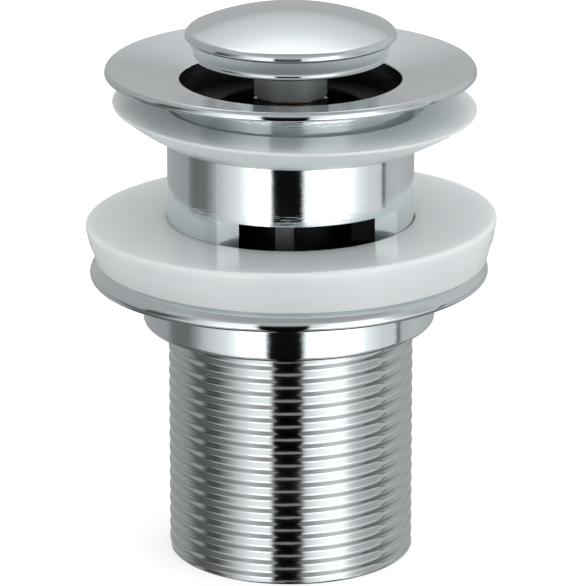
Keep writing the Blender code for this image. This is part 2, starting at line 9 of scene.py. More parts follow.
import bmesh
import bpy
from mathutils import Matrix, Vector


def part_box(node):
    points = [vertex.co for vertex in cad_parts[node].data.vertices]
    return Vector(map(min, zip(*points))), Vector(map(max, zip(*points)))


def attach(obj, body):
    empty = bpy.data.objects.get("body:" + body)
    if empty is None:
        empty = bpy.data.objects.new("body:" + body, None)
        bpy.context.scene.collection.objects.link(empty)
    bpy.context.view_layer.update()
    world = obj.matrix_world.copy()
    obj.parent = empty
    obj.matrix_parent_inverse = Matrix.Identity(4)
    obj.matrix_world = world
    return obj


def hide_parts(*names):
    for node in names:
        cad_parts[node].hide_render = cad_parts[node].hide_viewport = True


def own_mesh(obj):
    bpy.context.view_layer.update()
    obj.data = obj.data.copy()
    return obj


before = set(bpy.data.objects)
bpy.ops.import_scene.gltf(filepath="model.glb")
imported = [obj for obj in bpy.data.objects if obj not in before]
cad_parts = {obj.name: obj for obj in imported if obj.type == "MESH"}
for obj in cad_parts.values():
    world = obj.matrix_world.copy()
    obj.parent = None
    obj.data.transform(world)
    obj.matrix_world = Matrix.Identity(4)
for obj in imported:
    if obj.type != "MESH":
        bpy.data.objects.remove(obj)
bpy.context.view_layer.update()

MM = 0.001

# The view: a long lens, level across and looking down on the waste
CAMERA_DROP = 17.57        # degrees below the horizon
CAMERA_DISTANCE = 767.0
CAMERA_AIM = 45.0          # height on the axis that the lens points at
CAMERA_LENS = 275.6        # for a sensor 36 mm wide
CAMERA_SHIFT = (0.0039, 0.0029)

# Threaded tail
PITCH = 25.4 / 11          # 11 threads to the inch
THREAD_R = 41.9 / 2
THREAD_DEPTH = 0.27
THREAD_STEPS = 16          # rows of mesh to each thread
THREAD_CREST = 1.1         # 1 is an even wave, more widens the crest and narrows the groove
THREAD_PHASE = -0.62       # height of a groove's middle on the right-hand side
THREAD_END = 52.9
THREAD_RUN_OUT = 2.0
TAIL_CHAMFER = 0.35

# Body above the thread
BODY_LENGTH = 85.8
BORE_R = 36.8 / 2
MOUTH_R = 37.5 / 2
MOUTH_ROUND = 0.35
MOUTH_DEPTH = 2.4          # from the dish down to the foot of the mouth's upright wall
MOUTH_CONE = 0.6           # height of the cone from there to the bore
DULL_FROM = 0.5            # from the dish down to where the dull inside may begin
FLANGE_R = 62.8 / 2
FLANGE_EDGE_Z = 84.55      # where the rim is widest
FLANGE_EDGE_ABOVE = 1.3    # radius of the rim's edge above that height
FLANGE_EDGE_TURN = 52      # degrees that the edge turns there, before its tight upper corner
FLANGE_EDGE_BELOW = 0.45   # radius of the rim's edge below that height
FLANGE_CORNER = 0.12
FLANGE_RIM = 1.5           # width of the rim
FLANGE_RIM_SLOPE = 1.1     # the part of that width over which the underside slopes
FLANGE_WALL = 1.5
FLANGE_DISH = 2.35
FLANGE_FILLET = 1.2
SEAT_Z = 78.6
SEAT_R = 25.6 / 2
SEAT_CHAMFER = 0.3
SEAT_LAND = 1.8
SEAT_SLOPE = 2.4
WINDOW_DEPTH = 14.3
WINDOW_TURN = 11.0
WINDOW_DROP = 22.5
WINDOW_HEIGHT = 8.1
MILLED_REACH = 2.5         # the middle of a milled face is no further out from the flat than this
ARM_WIDTH = 3.0
ARM_TURN = -4.0
ARM_HEIGHT = 9.5
ARM_ROUND = 0.4
BOSS_R = 10.5
BOSS_HOLE_R = 7.3
BOSS_TOP = 65.0
BOSS_BOTTOM = 54.0
BOSS_STEP = 0.5
BOSS_CHAMFER = 0.4
CUT_PAST = 1.0             # how far a cutter stands past what it cuts

# Plug
CAP_R = 17.9
CAP_FOOT = 90.6
CAP_TOP = 95.6
CAP_ROLL = 1.6             # radius of the rolled edge, which the dome meets without a corner
CAP_ROLL_START = 66        # degrees
CAP_CORNER = 0.22
CAP_WALL = 1.1
CAP_HOLLOW = 0.6           # from the cap's foot up to the edge of its hollow
CAP_GAP = 0.3              # between the cap and the carrier under it
SKIRT_TOP = 90.3
SKIRT_TOP_R = 17.4
SKIRT_FOOT = 87.0
SKIRT_FOOT_R = 16.35
SKIRT_LIP = 0.8
SKIRT_LIP_ROUND = 0.35
SKIRT_LIP_STEP = (0.12, 0.2)  # from the lip in to the skirt, and up
SKIRT_INNER_R = 14.9
SKIRT_INNER_FOOT = 1.0     # from the skirt's foot up to its upright inner wall
CARRIER_UNDER = 89.6
PLUG_BOSS_R = 6.15
PLUG_BOSS_FOOT = 80.4
PLUG_BOSS_CHAMFER = 0.3
STUD_HOLE_R = 3.3
STUD_HOLE_TOP = 89.0

# Backnut
NUT_TOP = 52.15
NUT_FLANGE_FOOT = 49.0
NUT_FOOT = 40.9
NUT_FLANGE_R = 33.95
NUT_EDGE_Z = 49.8          # where the flange is widest
NUT_EDGE_ABOVE = 1.5       # radius of its edge, which runs into a cone of 45 degrees
NUT_EDGE_BELOW = 0.8
NUT_FILLET = 0.3           # between flange and hub
NUT_HUB_R = 24.9
NUT_HUB_CORNER = 0.95
NUT_MOUTH = 0.6            # from the tail's thread out to the nut's two end faces
NUT_LEAD = 1.0             # height over which the nut's thread opens at each end
THREAD_PLAY = 0.42         # between the two threads, measured outward
NUT_ASIDE = -0.3           # the loose nut hangs to the left
NUT_TILT = 0.4             # degrees down at the left

# Thick washer and upper gasket
WASHER_FOOT_Z = 52.25
WASHER_TOP_Z = 59.15
WASHER_TOP_R = 34.95
WASHER_ROUND = 0.7
WASHER_SIDE = [(1.05, 3.4), (0.45, 5.0)]  # its hollow side: (out from the foot, down from the top)
WASHER_FOOT_R = 33.4
WASHER_FOOT_ROUND = 0.3
WASHER_BORE_R = 21.05
WASHER_ASIDE = 0.08
WASHER_TILT = (1.2, -0.7)  # degrees up at the right and at the back
GASKET_R = 30.8
GASKET_TOP_Z = 79.0
GASKET_TOP_ROUND = 0.12
GASKET_FOOT_Z = 73.7
GASKET_FOOT_R = 23.0
GASKET_BAND = 0.2          # height of the upright outer edge
GASKET_CORNER = 0.45
GASKET_BELLY = 0.2         # how far the tapered underside swells
GASKET_STEPS = 12          # rows of mesh on the underside
GASKET_BORE_R = 21.9
GASKET_ASIDE = 0.67
GASKET_TILT = (-1.34, 0.5)  # degrees up at the right and at the back
FLAT_RING = 4.0            # a seal's flat face has one more ring of points this far inside its rim

# Return spring
SPRING_WIRE = 0.9
SPRING_TURNS = 7
SPRING_STEPS = 40          # pieces of wire to a turn
SPRING_CLOSED = 1.15       # rise of a closed turn, in wires
WIRE_FACETS = 12

# Finishes and facets
STROKE = 1 / 12            # a tool mark is this much finer across than along
LARGE = 180                # facets round the chromed pieces
MEDIUM = 120               # round the plastic ones
SMALL = 96                 # and round the boss in the body
NEAR = 0.1                 # allowance where a face's finish follows from its place
TOUCHING = 0.01            # the same, for the outside of tube and thread

# Floor and light
FLOOR_R = 3000.0
FLOOR_DROP = 0.02          # below the tail's end
FLOOR_GLOW = 0.4           # keeps the board as pale as the background
SOFT_LIGHT = (0.77, 1.36)  # on what isn't a mirror, from the left and from the right
BACKGROUND = 0.97


def linear(code):
    """An sRGB hex colour as linear red, green, blue and alpha."""
    parts = [int(code[i:i + 2], 16) / 255 for i in (1, 3, 5)]
    return (*(p / 12.92 if p <= 0.04045 else ((p + 0.055) / 1.055) ** 2.4 for p in parts), 1.0)


def grey(level):
    return (level, level, level, 1.0)


def add_node(tree, kind, inputs=None, **settings):
    """Adds a node with its settings. An input given as a socket is linked, any other value is set."""
    node = tree.nodes.new(kind)
    for name, value in settings.items():
        setattr(node, name, value)
    for name, value in (inputs or {}).items():
        if isinstance(value, bpy.types.NodeSocket):
            tree.links.new(value, node.inputs[name])
        else:
            node.inputs[name].default_value = value
    return node


def set_stops(ramp, stops):
    """Gives a colour ramp its (place, grey level) stops."""
    while len(ramp.color_ramp.elements) > 1:
        ramp.color_ramp.elements.remove(ramp.color_ramp.elements[-1])
    for i, (place, level) in enumerate(stops):
        stop = ramp.color_ramp.elements[0] if i == 0 else ramp.color_ramp.elements.new(place)
        stop.position = place
        stop.color = grey(level)


def scale_for(size):
    """The scale at which a noise's blotches are about this many millimetres across."""
    return 1 / (size * MM)


def start_material(name):
    made = bpy.data.materials.new(name)
    made.use_nodes = True
    made.node_tree.nodes.clear()
    return made, made.node_tree


def turning_marks(tree, spacing, strength, depth):
    """Fine strokes left by the lathe and the mop: noise drawn out round the axis, tight across it."""
    place = add_node(tree, "ShaderNodeTexCoord").outputs["Object"]
    apart = add_node(tree, "ShaderNodeSeparateXYZ", {"Vector": place})
    flat = add_node(tree, "ShaderNodeCombineXYZ", {"X": apart.outputs["X"], "Y": apart.outputs["Y"]})
    radius = add_node(tree, "ShaderNodeVectorMath", {0: flat.outputs[0]}, operation="LENGTH")
    across = add_node(tree, "ShaderNodeMath", {
        0: apart.outputs["Z"], 1: radius.outputs["Value"]}, operation="SUBTRACT")
    long_way = add_node(tree, "ShaderNodeVectorMath", {
        0: flat.outputs[0], "Scale": STROKE}, operation="SCALE")
    along = add_node(tree, "ShaderNodeSeparateXYZ", {"Vector": long_way.outputs[0]})
    strokes = add_node(tree, "ShaderNodeCombineXYZ", {
        "X": along.outputs["X"], "Y": along.outputs["Y"], "Z": across.outputs[0]})
    marks = add_node(tree, "ShaderNodeTexNoise", {
        "Vector": strokes.outputs[0], "Scale": scale_for(spacing), "Detail": 2.0})
    return add_node(tree, "ShaderNodeBump", {
        "Height": marks.outputs["Fac"], "Strength": strength, "Distance": depth * MM,
    })


def make_chrome(name, depth, haze, tint="#E1E8EB"):
    """Chrome electroplated on turned brass: a mirror, hazed by the lathe marks that are left under it."""
    made, tree = start_material(name)
    bump = turning_marks(tree, 0.2, 1.0, depth)
    place = add_node(tree, "ShaderNodeTexCoord").outputs["Object"]
    handling = add_node(tree, "ShaderNodeTexNoise", {
        "Vector": place, "Scale": scale_for(11.11), "Detail": 4.0})
    gloss = add_node(tree, "ShaderNodeMapRange", {
        "Value": handling.outputs["Fac"], "From Min": 0.35, "From Max": 0.75,
        "To Min": haze, "To Max": 2 * haze,
    })
    shader = add_node(tree, "ShaderNodeBsdfPrincipled", {
        "Base Color": linear(tint), "Metallic": 1.0, "Roughness": gloss.outputs[0],
        "Normal": bump.outputs[0],
    })
    add_node(tree, "ShaderNodeOutputMaterial", {"Surface": shader.outputs[0]})
    return made


def make_satin_chrome():
    """Chrome plate over brass that was turned but not buffed: the same metal with a soft, greyer sheen."""
    made, tree = start_material("satin_chrome_plate")
    bump = turning_marks(tree, 0.15, 0.5, 0.006)
    shader = add_node(tree, "ShaderNodeBsdfPrincipled", {
        "Base Color": linear("#E1E6E8"), "Metallic": 1.0, "Roughness": 0.5, "Normal": bump.outputs[0],
    })
    add_node(tree, "ShaderNodeOutputMaterial", {"Surface": shader.outputs[0]})
    return made


def make_dull_plate(name, dark, light):
    """Out of the polisher's reach the plating bath leaves only a thin, dull, grey skin on the rough metal.
    How dark it is comes from the two tones given, and the near-black tones used inside the bore are painted
    shade.
    """
    made, tree = start_material(name)
    place = add_node(tree, "ShaderNodeTexCoord").outputs["Object"]
    skin = add_node(tree, "ShaderNodeTexNoise", {"Vector": place, "Scale": scale_for(2.381), "Detail": 6.0})
    tint = add_node(tree, "ShaderNodeMix", {
        "Factor": skin.outputs["Fac"], "A": linear(dark), "B": linear(light),
    }, data_type="RGBA")
    bump = add_node(tree, "ShaderNodeBump", {
        "Height": skin.outputs["Fac"], "Strength": 0.5, "Distance": 0.05 * MM,
    })
    shader = add_node(tree, "ShaderNodeBsdfPrincipled", {
        "Base Color": tint.outputs["Result"], "Metallic": 1.0, "Roughness": 0.42, "Normal": bump.outputs[0],
    })
    add_node(tree, "ShaderNodeOutputMaterial", {"Surface": shader.outputs[0]})
    return made


def make_polythene():
    """Low density polythene, injection moulded: milky, waxy and a little see-through at its edges."""
    made, tree = start_material("milky_polythene")
    place = add_node(tree, "ShaderNodeTexCoord").outputs["Object"]
    flow = add_node(tree, "ShaderNodeTexNoise", {"Vector": place, "Scale": scale_for(16.67), "Detail": 3.0})
    tint = add_node(tree, "ShaderNodeMix", {
        "Factor": flow.outputs["Fac"], "A": linear("#D5DBDC"), "B": linear("#DFE4E5"),
    }, data_type="RGBA")
    grain = add_node(tree, "ShaderNodeTexNoise", {"Vector": place, "Scale": scale_for(0.4), "Detail": 2.0})
    bump = add_node(tree, "ShaderNodeBump", {
        "Height": grain.outputs["Fac"], "Strength": 0.15, "Distance": 0.02 * MM,
    })
    shader = add_node(tree, "ShaderNodeBsdfPrincipled", {
        "Base Color": tint.outputs["Result"], "Roughness": 0.16, "IOR": 1.7,
        "Subsurface Weight": 0.8, "Subsurface Radius": (1.0, 1.0, 1.0), "Subsurface Scale": 4.0 * MM,
        "Normal": bump.outputs[0],
    })
    add_node(tree, "ShaderNodeOutputMaterial", {"Surface": shader.outputs[0]})
    return made


def make_brass():
    """Free-cutting brass, turned and left unplated: warm, with visible tool rings and a little tarnish."""
    made, tree = start_material("turned_brass")
    bump = turning_marks(tree, 0.18, 0.5, 0.006)
    place = add_node(tree, "ShaderNodeTexCoord").outputs["Object"]
    tarnish = add_node(tree, "ShaderNodeTexNoise", {
        "Vector": place, "Scale": scale_for(3.846), "Detail": 5.0})
    tint = add_node(tree, "ShaderNodeMix", {
        "Factor": tarnish.outputs["Fac"], "A": linear("#D2AC62"), "B": linear("#B48A45"),
    }, data_type="RGBA")
    shader = add_node(tree, "ShaderNodeBsdfPrincipled", {
        "Base Color": tint.outputs["Result"], "Metallic": 1.0, "Roughness": 0.26, "Normal": bump.outputs[0],
    })
    add_node(tree, "ShaderNodeOutputMaterial", {"Surface": shader.outputs[0]})
    return made


def make_steel():
    """Stainless steel, drawn and ground: greyer than the chrome, with a fine satin."""
    made, tree = start_material("ground_stainless_steel")
    place = add_node(tree, "ShaderNodeTexCoord").outputs["Object"]
    satin = add_node(tree, "ShaderNodeTexNoise", {"Vector": place, "Scale": scale_for(0.5556), "Detail": 3.0})
    gloss = add_node(tree, "ShaderNodeMapRange", {
        "Value": satin.outputs["Fac"], "To Min": 0.22, "To Max": 0.36})
    shader = add_node(tree, "ShaderNodeBsdfPrincipled", {
        "Base Color": linear("#C2C1BD"), "Metallic": 1.0, "Roughness": gloss.outputs[0],
    })
    add_node(tree, "ShaderNodeOutputMaterial", {"Surface": shader.outputs[0]})
    return made


def make_rubber():
    """Nitrile rubber, compression moulded: matt black with a dusty bloom."""
    made, tree = start_material("nitrile_rubber")
    place = add_node(tree, "ShaderNodeTexCoord").outputs["Object"]
    bloom = add_node(tree, "ShaderNodeTexNoise", {"Vector": place, "Scale": scale_for(1.4286), "Detail": 6.0})
    tint = add_node(tree, "ShaderNodeMix", {
        "Factor": bloom.outputs["Fac"], "A": linear("#161617"), "B": linear("#2A2A2B"),
    }, data_type="RGBA")
    bump = add_node(tree, "ShaderNodeBump", {
        "Height": bloom.outputs["Fac"], "Strength": 0.3, "Distance": 0.03 * MM,
    })
    shader = add_node(tree, "ShaderNodeBsdfPrincipled", {
        "Base Color": tint.outputs["Result"], "Roughness": 0.62, "IOR": 1.52, "Normal": bump.outputs[0],
    })
    add_node(tree, "ShaderNodeOutputMaterial", {"Surface": shader.outputs[0]})
    return made


def make_acetal():
    """Acetal, injection moulded: dense white with a low sheen."""
    made, tree = start_material("white_acetal")
    place = add_node(tree, "ShaderNodeTexCoord").outputs["Object"]
    grain = add_node(tree, "ShaderNodeTexNoise", {"Vector": place, "Scale": scale_for(0.6667), "Detail": 3.0})
    tint = add_node(tree, "ShaderNodeMix", {
        "Factor": grain.outputs["Fac"], "A": linear("#E4E2DA"), "B": linear("#EEEDE6"),
    }, data_type="RGBA")
    bump = add_node(tree, "ShaderNodeBump", {
        "Height": grain.outputs["Fac"], "Strength": 0.2, "Distance": 0.02 * MM,
    })
    shader = add_node(tree, "ShaderNodeBsdfPrincipled", {
        "Base Color": tint.outputs["Result"], "Roughness": 0.34, "IOR": 1.48, "Subsurface Weight": 0.25,
        "Subsurface Radius": (1.0, 1.0, 0.9), "Subsurface Scale": 0.8 * MM, "Normal": bump.outputs[0],
    })
    add_node(tree, "ShaderNodeOutputMaterial", {"Surface": shader.outputs[0]})
    return made


def make_fibre():
    """Vulcanised fibre, stamped from sheet: dull red with pressed cotton strands."""
    made, tree = start_material("red_fibre")
    place = add_node(tree, "ShaderNodeTexCoord").outputs["Object"]
    strands = add_node(tree, "ShaderNodeTexNoise", {
        "Vector": place, "Scale": scale_for(0.8333), "Detail": 8.0})
    tint = add_node(tree, "ShaderNodeMix", {
        "Factor": strands.outputs["Fac"], "A": linear("#6E2418"), "B": linear("#9A4030"),
    }, data_type="RGBA")
    bump = add_node(tree, "ShaderNodeBump", {
        "Height": strands.outputs["Fac"], "Strength": 0.5, "Distance": 0.04 * MM,
    })
    shader = add_node(tree, "ShaderNodeBsdfPrincipled", {
        "Base Color": tint.outputs["Result"], "Roughness": 0.8, "Normal": bump.outputs[0],
    })
    add_node(tree, "ShaderNodeOutputMaterial", {"Surface": shader.outputs[0]})
    return made


def arc(centre, radius, start, end, steps=6):
    """Points of an arc about (radius, height), from one angle to another in degrees."""
    angles = [math.radians(start + (end - start) * i / steps) for i in range(steps + 1)]
    return [(centre[0] + radius * math.cos(a), centre[1] + radius * math.sin(a)) for a in angles]


def dome(radius, edge, rise, steps=20):
    """A shallow dome from its top on the axis out to its edge."""
    ball = (radius ** 2 + rise ** 2) / (2 * rise)
    angles = [math.asin(radius / ball) * i / steps for i in range(steps + 1)]
    return [(ball * math.sin(a), edge + rise - ball * (1 - math.cos(a))) for a in angles]


def placed(name, shape, finish):
    """Makes an object of a finished shape and puts it in the scene."""
    mesh = bpy.data.meshes.new(name)
    shape.to_mesh(mesh)
    shape.free()
    mesh.materials.append(finish)
    piece = bpy.data.objects.new(name, mesh)
    bpy.context.scene.collection.objects.link(piece)
    return piece


def skinned(name, column, facets, finish):
    """Carries column(turn), a closed profile of (radius, height) at each share of a turn, round the axis."""
    shape = bmesh.new()
    columns = []
    for i in range(facets + 1):
        angle = 2 * math.pi * i / facets
        columns.append([
            shape.verts.new((r * math.cos(angle) * MM, r * math.sin(angle) * MM, h * MM))
            for r, h in column(i / facets)
        ])
    for here, there in zip(columns, columns[1:]):
        for i, corner in enumerate(here):
            shape.faces.new((here[i - 1], there[i - 1], there[i], corner))
    bmesh.ops.remove_doubles(shape, verts=shape.verts, dist=0.0001 * MM)
    bmesh.ops.recalc_face_normals(shape, faces=shape.faces)
    return placed(name, shape, finish)


def turned(name, profile, finish, facets=LARGE):
    return skinned(name, lambda turn: profile, facets, finish)


def smoothed(piece, sharp=35):
    """Smooth shading that leaves hard corners hard and wide flats flat."""
    piece.data.shade_smooth()
    piece.data.set_sharp_from_angle(angle=math.radians(sharp))
    even = piece.modifiers.new("even_shading", "WEIGHTED_NORMAL")
    even.keep_sharp = True
    return piece


def seated(piece, body, node):
    """The piece rides on its body and stands for its node."""
    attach(piece, body)
    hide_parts(node)
    return piece


def cut_from(piece, helper, operation="DIFFERENCE"):
    """Joins a helper solid to the piece, or cuts it away, and deletes the helper."""
    step = piece.modifiers.new(operation.lower(), "BOOLEAN")
    step.operation = operation
    step.solver = "EXACT"
    step.object = helper
    bpy.context.view_layer.update()
    done = bpy.data.meshes.new_from_object(piece.evaluated_get(bpy.context.evaluated_depsgraph_get()))
    piece.modifiers.remove(step)
    piece.data = done
    bpy.data.objects.remove(helper)


def groove(share):
    """Depth of the thread at a share of its pitch: a rounded groove, a little narrower than the crest."""
    return ((1 + math.cos(2 * math.pi * share)) / 2) ** THREAD_CREST


def thread_rows(turn, low, high, radius_at):
    """One column of a right-hand thread between two heights. radius_at(groove, height) gives its radius."""
    first = math.floor(low / PITCH) - 1
    rows = (math.ceil(high / PITCH) + 1 - first) * THREAD_STEPS
    column = []
    for i in range(rows + 1):
        share = i / THREAD_STEPS
        height = min(max((first + share + turn) * PITCH + THREAD_PHASE, low), high)
        column.append((radius_at(groove((height - THREAD_PHASE) / PITCH - turn), height), height))
    return column


def tail_radius(depth, height):
    """The tail's thread, which runs out at its top and starts on a chamfer at the open end."""
    left = min(max((THREAD_END + THREAD_RUN_OUT - height) / THREAD_RUN_OUT, 0.0), 1.0)
    return min(THREAD_R - THREAD_DEPTH * depth * left, THREAD_R - TAIL_CHAMFER + height)


def make_cross(finish):
    """The four cast arms, with their edges rounded."""
    half = ARM_WIDTH / 2
    reach = (BORE_R + THREAD_R) / 2
    arm = [(half, half), (half, reach), (-half, reach)]
    outline = []
    for _ in range(4):
        outline += arm
        arm = [(-y, x) for x, y in arm]
    top = BOSS_TOP - BOSS_STEP
    shape = bmesh.new()
    face = shape.faces.new([shape.verts.new((x * MM, y * MM, (top - ARM_HEIGHT) * MM)) for x, y in outline])
    grown = bmesh.ops.extrude_face_region(shape, geom=[face])["geom"]
    raised = [item for item in grown if isinstance(item, bmesh.types.BMVert)]
    bmesh.ops.translate(shape, vec=(0.0, 0.0, ARM_HEIGHT * MM), verts=raised)
    level = [edge for edge in shape.edges if abs(edge.verts[0].co.z - edge.verts[1].co.z) < 0.01 * MM]
    bmesh.ops.bevel(shape, geom=level, offset=ARM_ROUND * MM, segments=3, profile=0.5, affect="EDGES")
    bmesh.ops.recalc_face_normals(shape, faces=shape.faces)
    cross = placed("cross_arms", shape, finish)
    cross.rotation_euler = (0.0, 0.0, math.radians(ARM_TURN))
    return cross


def make_window_cutter(turn, finish):
    """A block whose inner face is the flat that a mill leaves across the tube."""
    shape = bmesh.new()
    bmesh.ops.create_cube(shape, size=1.0)
    depth = 2 * (THREAD_R - WINDOW_DEPTH)
    bmesh.ops.scale(shape, vec=(4 * THREAD_R * MM, depth * MM, WINDOW_HEIGHT * MM), verts=shape.verts)
    middle = (0.0, -(WINDOW_DEPTH + depth / 2) * MM, (BODY_LENGTH - WINDOW_DROP - WINDOW_HEIGHT / 2) * MM)
    bmesh.ops.translate(shape, vec=middle, verts=shape.verts)
    cutter = placed("window_cutter", shape, finish)
    cutter.rotation_euler = (0.0, 0.0, math.radians(turn))
    return cutter


def flange_edge(tilt):
    """The rim from its underside up, over a tight upper corner, to the slope of the dish."""
    steep = FLANGE_EDGE_TURN
    centre = (FLANGE_R - FLANGE_EDGE_ABOVE, FLANGE_EDGE_Z)
    corner = arc(centre, FLANGE_EDGE_ABOVE - FLANGE_CORNER, steep, steep, 1)[0]
    return [
        *arc((FLANGE_R - FLANGE_EDGE_BELOW, FLANGE_EDGE_Z), FLANGE_EDGE_BELOW, -80, -8, 6),
        *arc(centre, FLANGE_EDGE_ABOVE, 0, steep, 8),
        *arc(corner, FLANGE_CORNER, steep + 12, 90 + tilt, 4),
    ]


def make_body(finish, finishes):
    """The chromed casting: flange, slotted tube, threaded tail and cross. Its finishes differ by place."""
    mouth_z = BODY_LENGTH - FLANGE_DISH
    slope = FLANGE_DISH / (FLANGE_R - MOUTH_R)
    tilt = math.degrees(math.atan(slope))
    under_r = THREAD_R + FLANGE_FILLET
    under_z = mouth_z + slope * (under_r - MOUTH_R) - FLANGE_WALL
    seat_under = SEAT_Z - SEAT_LAND - SEAT_SLOPE
    round_z = mouth_z + slope * MOUTH_ROUND - MOUTH_ROUND / math.cos(math.radians(tilt))
    above = [
        *arc((under_r, under_z - FLANGE_FILLET), FLANGE_FILLET, 180, 90 + tilt),
        (FLANGE_R - FLANGE_RIM, FLANGE_EDGE_Z - FLANGE_EDGE_BELOW - FLANGE_RIM_SLOPE * slope),
        *flange_edge(tilt),
        *arc((MOUTH_R + MOUTH_ROUND, round_z), MOUTH_ROUND, 90 + tilt, 180),
        (MOUTH_R, mouth_z - MOUTH_DEPTH), (BORE_R, mouth_z - MOUTH_DEPTH - MOUTH_CONE),
        (BORE_R, SEAT_Z), (SEAT_R + SEAT_CHAMFER, SEAT_Z), (SEAT_R, SEAT_Z - SEAT_CHAMFER),
        (SEAT_R, SEAT_Z - SEAT_LAND), (BORE_R, seat_under),
        (BORE_R, TAIL_CHAMFER / 2), (BORE_R + TAIL_CHAMFER / 2, 0.0),
    ]
    thread_top = THREAD_END + THREAD_RUN_OUT

    def column(turn):
        return thread_rows(turn, 0.0, thread_top, tail_radius) + above

    body = skinned("chromed_body", column, LARGE, finish)
    cut_from(body, make_cross(finish), "UNION")
    for turn in (WINDOW_TURN, WINDOW_TURN + 180):
        cut_from(body, make_window_cutter(turn, finish))
    boss = turned("cross_boss", [
        (0.0, BOSS_TOP), (BOSS_R - BOSS_CHAMFER, BOSS_TOP), (BOSS_R, BOSS_TOP - BOSS_CHAMFER),
        (BOSS_R, BOSS_BOTTOM + BOSS_CHAMFER), (BOSS_R - BOSS_CHAMFER, BOSS_BOTTOM), (0.0, BOSS_BOTTOM),
    ], finish, SMALL)
    cut_from(body, boss, "UNION")
    hole = turned("boss_hole", [
        (0.0, BOSS_TOP + CUT_PAST), (BOSS_HOLE_R, BOSS_TOP + CUT_PAST),
        (BOSS_HOLE_R, BOSS_BOTTOM - CUT_PAST), (0.0, BOSS_BOTTOM - CUT_PAST),
    ], finish, SMALL)
    cut_from(body, hole)
    index = {}
    for place, other in finishes.items():
        body.data.materials.append(other)
        index[place] = len(index) + 1
    for face in body.data.polygons:
        away = math.hypot(face.center.x, face.center.y) / MM
        height = face.center.z / MM
        upright = abs(face.normal.z) < 0.1
        # faces inside the bore get the near-black plate, which is painted shade for the dark throat
        if away < MOUTH_R - NEAR and TAIL_CHAMFER < height < mouth_z - DULL_FROM:
            on_window = upright and WINDOW_DEPTH - NEAR < away < WINDOW_DEPTH + MILLED_REACH
            face.material_index = index["milled" if on_window else "inner"]
        elif away < THREAD_R + TOUCHING:
            face.material_index = index["thread" if height < thread_top else "tube"]
        elif height > mouth_z and away < FLANGE_R - FLANGE_RIM and face.normal.z > 0.9:
            face.material_index = index["dish"]
    return seated(smoothed(body), "waste", "waste_body")


def make_cap(finish):
    """The domed cap with its rolled edge, pressed over the carrier."""
    inside_r = CAP_R - CAP_WALL
    hollow = CAP_FOOT + CAP_HOLLOW
    roll = arc((CAP_R - CAP_ROLL, CAP_FOOT), CAP_ROLL, CAP_ROLL_START, 9, 14)
    edge_r, edge_z = roll[0]
    profile = [
        *dome(edge_r, edge_z, CAP_TOP - edge_z, 28), *roll[1:],
        *arc((CAP_R - CAP_CORNER, CAP_FOOT + CAP_CORNER), CAP_CORNER, -10, -90, 4),
        (inside_r, CAP_FOOT),
        *reversed(dome(inside_r, hollow, CAP_TOP - CAP_WALL - hollow, 10)),
    ]
    return seated(smoothed(turned("domed_cap", profile, finish)), "plug", "plug_cap")


def make_carrier(finish, lip_finish):
    """Tapered skirt with an upright lip at its foot, and the boss that the cartridge screws into."""
    under_cap_r = CAP_R - CAP_WALL - CAP_GAP
    under_cap_z = CAP_FOOT + CAP_GAP
    lip_top = SKIRT_FOOT + SKIRT_LIP
    step_in, step_up = SKIRT_LIP_STEP
    profile = [
        *dome(under_cap_r, under_cap_z, CAP_TOP - CAP_WALL - CAP_GAP - under_cap_z, 8),
        (under_cap_r, SKIRT_TOP), (SKIRT_TOP_R, SKIRT_TOP),
        (SKIRT_FOOT_R - step_in, lip_top + step_up), (SKIRT_FOOT_R, lip_top),
        *arc((SKIRT_FOOT_R - SKIRT_LIP_ROUND, SKIRT_FOOT + SKIRT_LIP_ROUND), SKIRT_LIP_ROUND, 0, -180),
        (SKIRT_INNER_R, SKIRT_FOOT + SKIRT_INNER_FOOT),
        (SKIRT_INNER_R, CARRIER_UNDER), (PLUG_BOSS_R, CARRIER_UNDER),
        (PLUG_BOSS_R, PLUG_BOSS_FOOT + PLUG_BOSS_CHAMFER), (PLUG_BOSS_R - PLUG_BOSS_CHAMFER, PLUG_BOSS_FOOT),
        (STUD_HOLE_R, PLUG_BOSS_FOOT), (STUD_HOLE_R, STUD_HOLE_TOP), (0.0, STUD_HOLE_TOP),
    ]
    carrier = turned("plug_skirt", profile, finish)
    carrier.data.materials.append(lip_finish)
    for face in carrier.data.polygons:
        away = math.hypot(face.center.x, face.center.y) / MM
        if away > SKIRT_INNER_R and face.center.z / MM < lip_top:
            face.material_index = 1
    return seated(smoothed(carrier), "plug", "plug_carrier")


